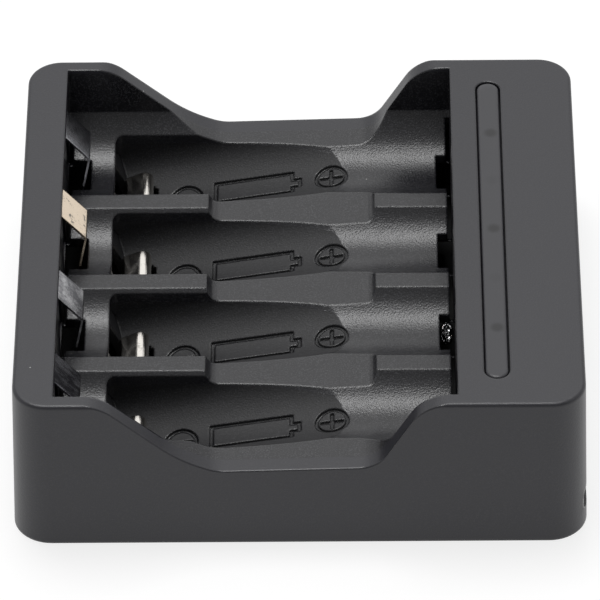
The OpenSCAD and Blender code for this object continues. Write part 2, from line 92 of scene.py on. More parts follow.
class Finish(Protocol):
    """What every finish offers."""

    @property
    def name(self) -> str:
        """Names the finish."""

    def material(self) -> bpy.types.Material:
        """Builds the finish's material."""


@lru_cache(maxsize=None)
def material_of(finish: Finish) -> bpy.types.Material:
    """Builds the material of a finish the first time, and gives the same one after that."""
    return finish.material()


def linear(code: str, alpha: float = 1.0) -> tuple[float, float, float, float]:
    """Turns an sRGB hex value to the linear colour that a node takes.

    Args:
        code: The colour, such as "#47474a".
        alpha: The fourth value.

    Returns:
        Red, green and blue as linear light, and alpha.
    """
    parts = [int(code[i : i + 2], 16) / 255 for i in (1, 3, 5)]
    low = [c / 12.92 if c <= 0.04045 else ((c + 0.055) / 1.055) ** 2.4 for c in parts]
    return (low[0], low[1], low[2], alpha)


def box_mm(node: str) -> tuple[Vector, Vector]:
    """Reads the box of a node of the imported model.

    Args:
        node: The node's name.

    Returns:
        Its lowest and its highest corner, in millimetres.
    """
    low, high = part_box(node)
    return 1000 * low, 1000 * high


def towards(azimuth: float, elevation: float) -> Vector:
    """Turns a direction of sight to a vector.

    Args:
        azimuth: Degrees round from the front, towards the right.
        elevation: Degrees up from the floor.

    Returns:
        The unit vector from the object towards the one who looks.
    """
    a, e = math.radians(azimuth), math.radians(elevation)
    return Vector((math.sin(a) * math.cos(e), -math.cos(a) * math.cos(e), math.sin(e)))


def add_node(
    tree: bpy.types.NodeTree, kind: str, feeds: dict | None = None, **settings: Any
) -> bpy.types.Node:
    """Adds one node, with its settings, its constants and its links.

    Args:
        tree: The node tree.
        kind: The node's type.
        feeds: For each input by name or number, a socket to link or a constant to set.
        settings: The node's own properties.

    Returns:
        The node.
    """
    node = tree.nodes.new(kind)
    for name, value in settings.items():
        setattr(node, name, value)
    for key, value in (feeds or {}).items():
        if isinstance(value, bpy.types.NodeSocket):
            tree.links.new(value, node.inputs[key])
        else:
            node.inputs[key].default_value = value
    return node


class Coat:
    """A new node material with its shader, and its place on the piece in millimetres."""

    def __init__(self, name: str) -> None:
        """Starts the material.

        Args:
            name: The material's name.
        """
        self.material = bpy.data.materials.new(name)
        self.material.use_nodes = True
        self.tree = self.material.node_tree
        self.tree.nodes.clear()
        self.shader = self.add("ShaderNodeBsdfPrincipled")
        self.add("ShaderNodeOutputMaterial", {"Surface": self.shader.outputs["BSDF"]})
        place = self.add("ShaderNodeTexCoord").outputs["Object"]
        self.place = self.add(
            "ShaderNodeVectorMath", {0: place, "Scale": 1 / MM}, operation="SCALE"
        ).outputs["Vector"]

    def add(self, kind: str, feeds: dict | None = None, **settings: Any) -> bpy.types.Node:
        """Adds a node to this material, as add_node does."""
        return add_node(self.tree, kind, feeds, **settings)

    def set(self, **constants: float) -> None:
        """Sets constants on the shader's own sockets, with underscores for spaces."""
        for name, value in constants.items():
            self.shader.inputs[name.replace("_", " ")].default_value = value

    def feed(self, name: str, socket: Socket) -> None:
        """Links a socket to the shader's input of that name."""
        self.tree.links.new(socket, self.shader.inputs[name])

    def relief(self, height: Socket, rounded: Socket) -> None:
        """Gives the surface a fine relief over its rounded edges.

        Args:
            height: The relief's height, in millimetres.
            rounded: The normal with the edges rounded.
        """
        bump = self.add(
            "ShaderNodeBump", {"Height": height, "Distance": MM, "Normal": rounded}
        )
        self.feed("Normal", bump.outputs["Normal"])


class Grower:
    """One Geometry Nodes tree with named inputs, which grows a seed mesh into a piece."""

    KINDS = {int: "NodeSocketInt", float: "NodeSocketFloat", tuple: "NodeSocketVector"}

    def __init__(self, name: str, **sizes: Any) -> None:
        """Starts the tree.

        Args:
            name: The name of the tree and of the piece.
            sizes: The named inputs, with lengths in metres.
        """
        self.name = name
        self.sizes = sizes
        self.tree = bpy.data.node_groups.new(name, "GeometryNodeTree")
        face = self.tree.interface
        face.new_socket("Seeds", in_out="INPUT", socket_type="NodeSocketGeometry")
        face.new_socket("Piece", in_out="OUTPUT", socket_type="NodeSocketGeometry")
        for label, size in sizes.items():
            face.new_socket(label, in_out="INPUT", socket_type=self.KINDS[type(size)])
        self.given = self.add("NodeGroupInput").outputs

    def add(self, kind: str, feeds: dict | None = None, **settings: Any) -> bpy.types.Node:
        """Adds a node to this tree, as add_node does."""
        return add_node(self.tree, kind, feeds, **settings)

    def bake(self, seeds: bpy.types.Mesh, shape: Socket, finish: Finish) -> None:
        """Ends the tree, runs it once and keeps its result as a plain mesh that rides the case.

        Args:
            seeds: The mesh that the tree starts from.
            shape: The socket with the grown shape.
            finish: The finish.
        """
        real = self.add("GeometryNodeRealizeInstances", {0: shape}).outputs[0]
        end = self.add(
            "GeometryNodeSetMaterial", {"Geometry": real, "Material": material_of(finish)}
        )
        self.add("NodeGroupOutput", {0: end.outputs[0]})
        seed = bpy.data.objects.new(f"{self.name}_seed", seeds)
        bpy.context.scene.collection.objects.link(seed)
        growth = seed.modifiers.new("growth", "NODES")
        growth.node_group = self.tree
        for item in self.tree.interface.items_tree:
            if item.name in self.sizes:
                growth[item.identifier] = self.sizes[item.name]
        grown = seed.evaluated_get(bpy.context.evaluated_depsgraph_get())
        mesh = bpy.data.meshes.new_from_object(grown)
        mesh.name = self.name
        piece = bpy.data.objects.new(self.name, mesh)
        bpy.context.scene.collection.objects.link(piece)
        seed.modifiers.remove(growth)
        bpy.data.objects.remove(seed)
        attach(piece, Body.CASE.value)
        LOG.info("%s has %d faces", self.name, len(mesh.polygons))


def seed_mesh(
    name: str, points: list[Point], runs: list[list[int]] | None = None
) -> bpy.types.Mesh:
    """Makes a mesh of loose points, or of runs of edges through them.

    Args:
        name: The mesh's name.
        points: The points in millimetres.
        runs: For each run, the numbers of the points that it goes through.

    Returns:
        The mesh, in metres.
    """
    edges = [pair for run in runs or [] for pair in zip(run, run[1:])]
    mesh = bpy.data.meshes.new(name)
    mesh.from_pydata([[c * MM for c in point] for point in points], edges, [])
    return mesh


@dataclass
class StripRow:
    """A row of equal bent metal strips, such as the legs of a chip or the pins of a socket."""

    name: str
    runs: list[list[Point]]
    across: Point
    thickness: float
    count: int
    step: Point
    rows: int = 1
    row_step: Point = (0.0, 0.0, 0.0)

    def build(self, finish: Finish) -> None:
        """Builds and dresses the row.

        Args:
            finish: The strips' finish.
        """
        grower = Grower(
            self.name,
            Across=tuple(c * MM for c in self.across),
            Thickness=self.thickness * MM,
            Count=self.count,
            Step=tuple(c * MM for c in self.step),
            Rows=self.rows,
            Row_Step=tuple(c * MM for c in self.row_step),
        )
        given = grower.given
        ribbon = grower.add(
            "GeometryNodeExtrudeMesh",
            {"Mesh": given["Seeds"], "Offset": given["Across"], "Offset Scale": 1.0},
            mode="EDGES",
        ).outputs["Mesh"]
        top = grower.add(
            "GeometryNodeExtrudeMesh",
            {"Mesh": ribbon, "Offset Scale": given["Thickness"], "Individual": False},
            mode="FACES",
        ).outputs["Mesh"]
        under = grower.add("GeometryNodeFlipFaces", {"Mesh": ribbon}).outputs[0]
        both = grower.add("GeometryNodeJoinGeometry")
        grower.tree.links.new(under, both.inputs[0])
        grower.tree.links.new(top, both.inputs[0])
        strip = grower.add(
            "GeometryNodeMergeByDistance", {"Geometry": both.outputs[0], "Distance": WELD}
        ).outputs[0]
        for count, step in (("Count", "Step"), ("Rows", "Row_Step")):
            line = grower.add(
                "GeometryNodeMeshLine", {"Count": given[count], "Offset": given[step]}
            ).outputs[0]
            strip = grower.add(
                "GeometryNodeInstanceOnPoints", {"Points": line, "Instance": strip}
            ).outputs[0]
        points: list[Point] = []
        numbers = []
        for run in self.runs:
            numbers.append(list(range(len(points), len(points) + len(run))))
            points += run
        grower.bake(seed_mesh(self.name, points, numbers), strip, finish)


@dataclass
class SolderJoints:
    """Small domes of solder round the leads that go through the board, no two quite alike."""

    name: str
    places: list[Point]
    radius: float = 0.75
    height: float = 0.6
    spread: float = 0.18
    facets: int = 3
    seed: int = 11

    def build(self, finish: Finish) -> None:
        """Builds and dresses the joints.

        Args:
            finish: The solder's finish.
        """
        grower = Grower(
            self.name,
            Radius=self.radius * MM,
            Flatness=self.height / self.radius,
            Smallest=1 - self.spread,
            Largest=1 + self.spread,
            Seed=self.seed,
        )
        given = grower.given
        dome = grower.add(
            "GeometryNodeMeshIcoSphere", {"Radius": given["Radius"], "Subdivisions": self.facets}
        ).outputs["Mesh"]
        dome = grower.add("GeometryNodeSetShadeSmooth", {0: dome}).outputs[0]
        size = grower.add(
            "FunctionNodeRandomValue",
            {2: given["Smallest"], 3: given["Largest"], "Seed": given["Seed"]},
        ).outputs[1]
        tall = grower.add(
            "ShaderNodeMath", {0: size, 1: given["Flatness"]}, operation="MULTIPLY"
        ).outputs[0]
        scale = grower.add("ShaderNodeCombineXYZ", {0: size, 1: size, 2: tall}).outputs[0]
        domes = grower.add(
            "GeometryNodeInstanceOnPoints",
            {"Points": given["Seeds"], "Instance": dome, "Scale": scale},
        ).outputs[0]
        grower.bake(seed_mesh(self.name, self.places), domes, finish)


@dataclass
class CrinkledTin:
    """The crumpled patch of tin on the board, seen through the hole of the third bay."""

    name: str
    place: Point
    half: Point
    crease: float = 0.55
    depth: float = 0.7
    facets: int = 5
    seed: float = 4.0

    def build(self, finish: Finish) -> None:
        """Builds and dresses the patch.

        Args:
            finish: The tin's finish.
        """
        grower = Grower(
            self.name,
            Half=self.half,
            Crease=1 / (self.crease * MM),
            Depth=self.depth * MM,
            Seed=self.seed,
        )
        given = grower.given
        ball = grower.add(
            "GeometryNodeMeshIcoSphere", {"Radius": MM, "Subdivisions": self.facets}
        ).outputs["Mesh"]
        lump = grower.add(
            "GeometryNodeTransform", {"Geometry": ball, "Scale": given["Half"]}
        ).outputs[0]
        place = grower.add("GeometryNodeInputPosition").outputs[0]
        folds = grower.add(
            "ShaderNodeTexNoise",
            {"Vector": place, "W": given["Seed"], "Scale": given["Crease"], "Detail": 1.0},
            noise_dimensions="4D",
        ).outputs["Color"]
        off = grower.add(
            "ShaderNodeVectorMath", {0: folds, 1: (0.5, 0.5, 0.5)}, operation="SUBTRACT"
        ).outputs[0]
        move = grower.add(
            "ShaderNodeVectorMath", {0: off, "Scale": given["Depth"]}, operation="SCALE"
        ).outputs[0]
        crumpled = grower.add(
            "GeometryNodeSetPosition", {"Geometry": lump, "Offset": move}
        ).outputs[0]
        patch = grower.add(
            "GeometryNodeInstanceOnPoints", {"Points": given["Seeds"], "Instance": crumpled}
        ).outputs[0]
        grower.bake(seed_mesh(self.name, [self.place]), patch, finish)


@dataclass(frozen=True)
class Erosion:
    """How one zone of the mould was spark-eroded, which sets the look of the plastic there.

    The grain's width and height are in millimetres. Painted glint is how much of a pale colour
    shows on the grain's highest tips, as a painted highlight.
    """

    colour: str
    roughness: float
    grain: float
    height: float
    painted_glint: float


@dataclass(frozen=True)
class MouldedAbs:
    """Charcoal ABS from a spark-eroded mould: a dark satin skin that carries a fine even grain.

    The outside was eroded finely, the saddles and ribs more coarsely, so that they sparkle under
    a lamp, and the channels for the small cells most, so that they stay dull. Much of what the
    eye gets from so dark a plastic is what it mirrors, so the written colours are darker than
    they look. The wells are written darker than the outside, and the channels darker still, as
    painted shade for their hollows.

    Real grain of this kind is about 0.05 mm wide, too fine to show, so both the grain and its
    painted glint are drawn several times coarser, and so are the specks of dust.
    """

    name: str = "moulded_abs_charcoal"
    outside: Erosion = Erosion("#222228", 0.38, 0.3, 0.02, 0.06)
    # The wells' and channels' darker colours are painted shade; the last number of each is a
    # painted glint.
    wells: Erosion = Erosion("#17171b", 0.28, 0.22, 0.036, 0.22)
    channels: Erosion = Erosion("#0a0a0e", 0.6, 0.22, 0.036, 0.12)
    painted_glint_colour: str = "#6a6a6e"
    painted_glint_step: float = 0.17
    painted_glint_noise: tuple[float, float] = (0.52, 0.72)
    edge_r: float = 0.42
    edge_samples: int = 8
    edge_roughness: float = 0.14
    edge_cosines: tuple[float, float] = (0.998, 0.96)
    dust_colour: str = "#9a9a9a"
    dust_step: float = 4.5
    dust_r: float = 0.11
    dust_share: float = 0.3
    cloud: float = 17.0
    cloud_shade: tuple[float, float] = (0.93, 1.07)
    cloud_roughness: float = 0.03
    well_x: tuple[float, float] = (-31.72, 20.52)
    well_y: float = 33.45
    well_z: float = 22.7
    pitch: float = 16.6
    saddle_r: float = 10.13
    saddle_axis_z: float = 21.4
    channel_x: tuple[float, float] = (-25.35, 6.4)
    channel_half: float = 6.37
    channel_z: float = 12.05

    def material(self) -> bpy.types.Material:
        """Builds the material."""
        coat = Coat(self.name)
        coat.set(IOR=1.53)
        axes = coat.add("ShaderNodeSeparateXYZ", {0: coat.place}).outputs
        inside = self._inside(coat, axes)
        channel = coat.add(
            "ShaderNodeMath", {0: self._channel(coat, axes), 1: inside}, operation="MULTIPLY"
        ).outputs[0]
        cloud = coat.add(
            "ShaderNodeTexNoise",
            {"Vector": coat.place, "Scale": 1 / self.cloud, "Detail": 3.0},
        ).outputs["Fac"]
        coat.feed("Base Color", self._colour(coat, inside, channel, cloud))
        rough = self._zoned(coat, inside, channel, "roughness")
        wear = coat.add(
            "ShaderNodeMapRange",
            {"Value": cloud, "To Min": -self.cloud_roughness, "To Max": self.cloud_roughness},
        ).outputs["Result"]
        worn = coat.add("ShaderNodeMath", {0: rough, 1: wear}, operation="ADD").outputs[0]
        rounded = coat.add(
            "ShaderNodeBevel", {"Radius": self.edge_r * MM}, samples=self.edge_samples
        ).outputs["Normal"]
        polish = self._turned(coat, rounded)
        coat.feed(
            "Roughness",
            coat.add("ShaderNodeMix", {0: polish, 2: worn, 3: self.edge_roughness}).outputs[0],
        )
        size = self._zoned(coat, inside, channel, "grain")
        scale = coat.add("ShaderNodeMath", {0: 1.0, 1: size}, operation="DIVIDE").outputs[0]
        grain = coat.add(
            "ShaderNodeTexNoise",
            {"Vector": coat.place, "Scale": scale, "Detail": 1.0, "Roughness": 0.6},
        ).outputs["Fac"]
        height = coat.add(
            "ShaderNodeMath",
            {0: grain, 1: self._zoned(coat, inside, channel, "height")},
            operation="MULTIPLY",
        ).outputs[0]
        coat.relief(height, rounded)
        return coat.material

    def _turned(self, coat: Coat, normal: Socket) -> Socket:
        """Adds the test for rounded edges, which handling polishes.

        Args:
            coat: The material in the making.
            normal: The normal with the edges rounded.

        Returns:
            The socket that is 1 where the rounding turns the surface and 0 on level ground.
        """
        plain = coat.add("ShaderNodeNewGeometry").outputs["Normal"]
        match = coat.add(
            "ShaderNodeVectorMath", {0: normal, 1: plain}, operation="DOT_PRODUCT"
        ).outputs["Value"]
        level, turned = self.edge_cosines
        return coat.add(
            "ShaderNodeMapRange", {"Value": match, "From Min": level, "From Max": turned}
        ).outputs["Result"]

    def _colour(self, coat: Coat, inside: Socket, channel: Socket, cloud: Socket) -> Socket:
        """Mixes the three zones' colours, with painted shade in the wells and channels, a faint
        cloud, and a painted glint on the grain's tips.

        Args:
            coat: The material in the making.
            inside: The socket that is 1 in the wells.
            channel: The socket that is 1 in the channels.
            cloud: The cloud's socket.

        Returns:
            The colour's socket.
        """
        zone_colour_with_painted_shade: Any = linear(self.outside.colour)
        # The wells and channels take darker colours here, as painted shade.
        for zone, where in ((self.wells, inside), (self.channels, channel)):
            zone_colour_with_painted_shade = coat.add(
                "ShaderNodeMix",
                {0: where, 6: zone_colour_with_painted_shade, 7: linear(zone.colour)},
                data_type="RGBA",
            ).outputs[2]
        dark, light = self.cloud_shade
        shade = coat.add(
            "ShaderNodeMapRange", {"Value": cloud, "To Min": dark, "To Max": light}
        ).outputs["Result"]
        shaded = coat.add(
            "ShaderNodeVectorMath", {0: zone_colour_with_painted_shade, "Scale": shade}, operation="SCALE"
        ).outputs["Vector"]
        # Painted glint: pale colour on the highest tips of a noise, standing in for their
        # highlights.
        tips = coat.add(
            "ShaderNodeTexNoise", {"Vector": coat.place, "Scale": 1 / self.painted_glint_step, "Detail": 0.0}
        ).outputs["Fac"]
        foot, top = self.painted_glint_noise
        peaks = coat.add(
            "ShaderNodeMapRange", {"Value": tips, "From Min": foot, "From Max": top}
        ).outputs["Result"]
        painted_glint = coat.add(
            "ShaderNodeMath",
            {0: peaks, 1: self._zoned(coat, inside, channel, "painted_glint")},
            operation="MULTIPLY",
        ).outputs[0]
        with_painted_glint = coat.add(
            "ShaderNodeMix",
            {0: painted_glint, 6: shaded, 7: linear(self.painted_glint_colour)},
            data_type="RGBA",
        ).outputs[2]
        return coat.add(
            "ShaderNodeMix",
            {0: self._dust(coat), 6: with_painted_glint, 7: linear(self.dust_colour)},
            data_type="RGBA",
        ).outputs[2]

    def _dust(self, coat: Coat) -> Socket:
        """Adds a few specks of dust, one in some of the cells of a Voronoi texture.

        Args:
            coat: The material in the making.

        Returns:
            The socket that is 1 on a speck and 0 off it.
        """
        cells = coat.add(
            "ShaderNodeTexVoronoi", {"Vector": coat.place, "Scale": 1 / self.dust_step}
        ).outputs
        near = coat.add(
            "ShaderNodeMath",
            {0: cells["Distance"], 1: self.dust_r / self.dust_step},
            operation="LESS_THAN",
        ).outputs[0]
        lot = coat.add("ShaderNodeSeparateXYZ", {0: cells["Color"]}).outputs["X"]
        drawn = coat.add(
            "ShaderNodeMath", {0: lot, 1: self.dust_share}, operation="LESS_THAN"
        ).outputs[0]
        return coat.add("ShaderNodeMath", {0: near, 1: drawn}, operation="MULTIPLY").outputs[0]

    def _zoned(self, coat: Coat, inside: Socket, channel: Socket, name: str) -> Socket:
        """Mixes one number of the three zones.

        Args:
            coat: The material in the making.
            inside: The socket that is 1 in the wells.
            channel: The socket that is 1 in the channels.
            name: The number's field in Erosion.

        Returns:
            The number's socket.
        """
        value: Any = getattr(self.outside, name)
        for zone, where in ((self.wells, inside), (self.channels, channel)):
            value = coat.add(
                "ShaderNodeMix", {0: where, 2: value, 3: getattr(zone, name)}
            ).outputs[0]
        return value

    def _inside(self, coat: Coat, axes: Any) -> Socket:
        """Adds the test for the wells' surfaces.

        Args:
            coat: The material in the making.
            axes: The place's three coordinates.

        Returns:
            The socket that is 1 in the wells and 0 elsewhere.
        """
        low, high = self.well_x
        return self._all_below(
            coat,
            (self._away(coat, axes["X"], (low + high) / 2), (high - low) / 2),
            (self._away(coat, axes["Y"], 0.0), self.well_y),
            (axes["Z"], self.well_z),
        )

    def _channel(self, coat: Coat, axes: Any) -> Socket:
        """Adds the test for the channels: below a saddle's curve, and between their sides.

        Args:
            coat: The material in the making.
            axes: The place's three coordinates.

        Returns:
            The socket that is 1 in the channels and 0 elsewhere.
        """
        turn = coat.add("ShaderNodeMath", {0: axes["Y"], 1: 1 / self.pitch}, operation="MULTIPLY")
        share = coat.add("ShaderNodeMath", {0: turn.outputs[0]}, operation="FRACT")
        wide = coat.add(
            "ShaderNodeMath", {0: share.outputs[0], 1: self.pitch}, operation="MULTIPLY"
        )
        side = self._away(coat, wide.outputs[0], self.pitch / 2)
        down = coat.add(
            "ShaderNodeMath", {0: axes["Z"], 1: self.saddle_axis_z}, operation="SUBTRACT"
        )
        arm = coat.add("ShaderNodeCombineXYZ", {"X": side, "Y": down.outputs[0]})
        reach = coat.add("ShaderNodeVectorMath", {0: arm.outputs[0]}, operation="LENGTH")
        short = coat.add(
            "ShaderNodeMath", {0: 0.0, 1: reach.outputs["Value"]}, operation="SUBTRACT"
        )
        low, high = self.channel_x
        return self._all_below(
            coat,
            (side, self.channel_half),
            (short.outputs[0], -self.saddle_r),
            (self._away(coat, axes["X"], (low + high) / 2), (high - low) / 2),
            (axes["Z"], self.channel_z),
        )

    @staticmethod
    def _away(coat: Coat, value: Socket, middle: float) -> Socket:
        """Measures how far a value lies from a middle, to either side.

        Args:
            coat: The material in the making.
            value: The value's socket.
            middle: The middle.

        Returns:
            The distance's socket.
        """
        off = coat.add("ShaderNodeMath", {0: value, 1: middle}, operation="SUBTRACT")
        return coat.add("ShaderNodeMath", {0: off.outputs[0]}, operation="ABSOLUTE").outputs[0]

    @staticmethod
    def _all_below(coat: Coat, *pairs: tuple[Socket, float]) -> Socket:
        """Tests that every value lies below its limit.

        Args:
            coat: The material in the making.
            pairs: Each value's socket with its limit.

        Returns:
            The socket that is 1 where all do and 0 elsewhere.
        """
        found: Any = 1.0
        for socket, limit in pairs:
            test = coat.add("ShaderNodeMath", {0: socket, 1: limit}, operation="LESS_THAN")
            found = coat.add(
                "ShaderNodeMath", {0: found, 1: test.outputs[0]}, operation="MULTIPLY"
            ).outputs[0]
        return found


@dataclass(frozen=True)
class SmokedAcrylic:
    """Smoked acrylic, moulded: smoother than the case, with a darker spot over each lamp.

    It is dark and even, with a slight haze from the mould and a paler far end, which is a
    painted highlight. Every second spot is faint, with that share of the others' strength.
    """

    name: str = "smoked_acrylic"
    colour: str = "#36363a"
    spot_colour: str = "#18181b"
    painted_highlight_colour: str = "#4b4b50"
    roughness: float = 0.3
    haze: float = 2.5
    haze_roughness: float = 0.05
    edge_r: float = 0.4
    edge_samples: int = 6
    bar_x: float = 25.8
    bar_y: float = 0.45
    bar_end: float = 31.1
    painted_highlight_length: float = 3.0
    pitch: float = 9.95
    spot_r: float = 0.8
    spot_soft: float = 0.4
    faint: float = 0.2

    def material(self) -> bpy.types.Material:
        """Builds the material."""
        coat = Coat(self.name)
        coat.set(IOR=1.49)
        spot = self._spots(coat)
        up = coat.add("ShaderNodeSeparateXYZ", {0: coat.place}).outputs["Y"]
        # Painted highlight: the colour turns paler towards the bar's far end.
        end = coat.add(
            "ShaderNodeMapRange",
            {
                "Value": up,
                "From Min": self.bar_end - self.painted_highlight_length,
                "From Max": self.bar_end,
            },
            interpolation_type="SMOOTHSTEP",
        ).outputs["Result"]
        body = coat.add(
            "ShaderNodeMix",
            {0: end, 6: linear(self.colour), 7: linear(self.painted_highlight_colour)},
            data_type="RGBA",
        ).outputs[2]
        coat.feed(
            "Base Color",
            coat.add(
                "ShaderNodeMix",
                {0: spot, 6: body, 7: linear(self.spot_colour)},
                data_type="RGBA",
            ).outputs[2],
        )
        haze = coat.add(
            "ShaderNodeTexNoise", {"Vector": coat.place, "Scale": 1 / self.haze, "Detail": 4.0}
        ).outputs["Fac"]
        coat.feed(
            "Roughness",
            coat.add(
                "ShaderNodeMapRange",
                {
                    "Value": haze,
                    "To Min": self.roughness - self.haze_roughness,
                    "To Max": self.roughness + self.haze_roughness,
                },
            ).outputs["Result"],
        )
        rounded = coat.add(
            "ShaderNodeBevel", {"Radius": self.edge_r * MM}, samples=self.edge_samples
        ).outputs["Normal"]
        coat.feed("Normal", rounded)
        return coat.material

    def _spots(self, coat: Coat) -> Socket:
        """Adds the row of round spots, every second one faint.

        Args:
            coat: The material in the making.

        Returns:
            The socket that is 1 on a spot and 0 off it.
        """
        axes = coat.add("ShaderNodeSeparateXYZ", {0: coat.place}).outputs
        shift = 0.5 + self.bar_y / self.pitch
        turn = coat.add(
            "ShaderNodeMath", {0: axes["Y"], 1: 1 / self.pitch, 2: shift}, operation="MULTIPLY_ADD"
        )
        index = coat.add("ShaderNodeMath", {0: turn.outputs[0]}, operation="FLOOR").outputs[0]
        share = coat.add(
            "ShaderNodeMath", {0: turn.outputs[0], 1: index}, operation="SUBTRACT"
        ).outputs[0]
        along = coat.add(
            "ShaderNodeMath",
            {0: share, 1: self.pitch, 2: -self.pitch / 2},
            operation="MULTIPLY_ADD",
        ).outputs[0]
        across = coat.add(
            "ShaderNodeMath", {0: axes["X"], 1: self.bar_x}, operation="SUBTRACT"
        ).outputs[0]
        flat = coat.add("ShaderNodeCombineXYZ", {"X": across, "Y": along}).outputs[0]
        far = coat.add("ShaderNodeVectorMath", {0: flat}, operation="LENGTH").outputs["Value"]
        disc = coat.add(
            "ShaderNodeMapRange",
            {
                "Value": far,
                "From Min": self.spot_r - self.spot_soft,
                "From Max": self.spot_r + self.spot_soft,
                "To Min": 1.0,
                "To Max": 0.0,
            },
            interpolation_type="SMOOTHSTEP",
        ).outputs["Result"]
        odd = coat.add("ShaderNodeMath", {0: index, 1: 1.0}, operation="PINGPONG").outputs[0]
        strength = coat.add(
            "ShaderNodeMapRange", {"Value": odd, "To Min": 1.0, "To Max": self.faint}
        ).outputs["Result"]
        return coat.add(
            "ShaderNodeMath", {0: disc, 1: strength}, operation="MULTIPLY"
        ).outputs[0]


@dataclass(frozen=True)
class NickelStrip:
    """Nickel-plated spring steel strip, rolled: bright, with duller stains and fine marks.

    The marks of the rolling run along the strip and are a few hundredths of a millimetre wide,
    too fine to show, so they are drawn coarser. Lean stretches the stains along an axis.
    """

    name: str = "nickel_plated_strip"
    colour: str = "#dcd8d2"
    dull_colour: str = "#8f8b86"
    roughness: float = 0.12
    polish: float = 0.06
    wear: float = 0.12
    grain: float = 0.12
    grain_height: float = 0.0015
    rolled: Point = (0.08, 1.0, 0.08)
    cloud: float = 1.4
    worn: tuple[float, float] = (0.56, 0.75)
    lean: Point = (1.0, 1.0, 1.0)
    edge_r: float = 0.13
    edge_samples: int = 4

    def material(self) -> bpy.types.Material:
        """Builds the material."""
        coat = Coat(self.name)
        coat.set(Metallic=1.0)
        leant = coat.add("ShaderNodeMapping", {"Vector": coat.place, "Scale": self.lean})
        cloud = coat.add(
            "ShaderNodeTexNoise",
            {
                "Vector": leant.outputs[0],
                "Scale": 1 / self.cloud,
                "Detail": 5.0,
                "Roughness": 0.7,
            },
        ).outputs["Fac"]
        stain = coat.add(
            "ShaderNodeMapRange",
            {"Value": cloud, "From Min": self.worn[0], "From Max": self.worn[1]},
        ).outputs["Result"]
        coat.feed(
            "Base Color",
            coat.add(
                "ShaderNodeMix",
                {0: stain, 6: linear(self.colour), 7: linear(self.dull_colour)},
                data_type="RGBA",
            ).outputs[2],
        )
        coat.feed(
            "Roughness",
            coat.add(
                "ShaderNodeMapRange",
                {
                    "Value": cloud,
                    "To Min": self.roughness - self.polish,
                    "To Max": self.roughness + self.wear,
                },
            ).outputs["Result"],
        )
        rolled = coat.add(
            "ShaderNodeMapping", {"Vector": coat.place, "Scale": self.rolled}
        ).outputs[0]
        lines = coat.add(
            "ShaderNodeTexNoise", {"Vector": rolled, "Scale": 1 / self.grain, "Detail": 2.0}
        ).outputs["Fac"]
        height = coat.add(
            "ShaderNodeMath", {0: lines, 1: self.grain_height}, operation="MULTIPLY"
        ).outputs[0]
        rounded = coat.add(
            "ShaderNodeBevel", {"Radius": self.edge_r * MM}, samples=self.edge_samples
        ).outputs["Normal"]
        coat.relief(height, rounded)
        return coat.material


@dataclass(frozen=True)
class PlainFinish:
    """A finish with one colour, a soft cloud in it and a fine grain, for small parts.

    The grain of such parts is finer than the picture shows, so it is drawn coarser.
    """

    name: str
    colour: str
    roughness: float
    metallic: float = 0.0
    ior: float = 1.5
    transmission: float = 0.0
    grain: float = 0.2
    grain_height: float = 0.004
    cloud: float = 2.0
    cloud_shade: tuple[float, float] = (0.85, 1.15)
    cloud_roughness: float = 0.06
    smoothest: float = 0.03
    edge_r: float = 0.1
    edge_samples: int = 4

    def material(self) -> bpy.types.Material:
        """Builds the material."""
        coat = Coat(self.name)
        coat.set(
            Metallic=self.metallic, IOR=self.ior, Transmission_Weight=self.transmission
        )
        cloud = coat.add(
            "ShaderNodeTexNoise", {"Vector": coat.place, "Scale": 1 / self.cloud, "Detail": 4.0}
        ).outputs["Fac"]
        dark, light = self.cloud_shade
        shade = coat.add(
            "ShaderNodeMapRange", {"Value": cloud, "To Min": dark, "To Max": light}
        ).outputs["Result"]
        coat.feed(
            "Base Color",
            coat.add(
                "ShaderNodeVectorMath",
                {0: linear(self.colour)[:3], "Scale": shade},
                operation="SCALE",
            ).outputs["Vector"],
        )
        coat.feed(
            "Roughness",
            coat.add(
                "ShaderNodeMapRange",
                {
                    "Value": cloud,
                    "To Min": max(self.smoothest, self.roughness - self.cloud_roughness),
                    "To Max": self.roughness + self.cloud_roughness,
                },
            ).outputs["Result"],
        )
        grain = coat.add(
            "ShaderNodeTexNoise", {"Vector": coat.place, "Scale": 1 / self.grain}
        ).outputs["Fac"]
        height = coat.add(
            "ShaderNodeMath", {0: grain, 1: self.grain_height}, operation="MULTIPLY"
        ).outputs[0]
        rounded = coat.add(
            "ShaderNodeBevel", {"Radius": self.edge_r * MM}, samples=self.edge_samples
        ).outputs["Normal"]
        coat.relief(height, rounded)
        return coat.material


def dress(frame: dict, nodes: Iterable[str], finish: Finish) -> None:
    """Gives CAD nodes a finish in their material slots.

    Args:
        frame: The loaded frame.
        nodes: The nodes' names.
        finish: The finish.
    """
    material = material_of(finish)
    for name in nodes:
        piece = frame["nodes"][name]
        if not piece.material_slots:
            piece.data.materials.append(material)
        for slot in piece.material_slots:
            slot.material = material
        LOG.info("%s has %s", name, finish.name)


@dataclass
class CaseMouldings:
    """The shell with its wells, and the cover under it."""

    nodes: tuple[str, ...] = ("top_shell", "bottom_cover")

    def build(self, frame: dict) -> None:
        """Dresses the mouldings."""
        dress(frame, self.nodes, MouldedAbs())


@dataclass
class LightBar:
    """The light bar in the panel, and the lamps under it."""

    lamps: int = 5

    def build(self, frame: dict) -> None:
        """Dresses the bar and the lamps."""
        dress(frame, ["light_bar"], SmokedAcrylic())
        # Clear epoxy, cast: glossy, and seen into as far as the chip.
        lamp = PlainFinish("epoxy_lamp_clear", "#e6e2d6", 0.12, ior=1.53, transmission=0.6)
        dress(frame, (f"led_{i + 1}" for i in range(self.lamps)), lamp)


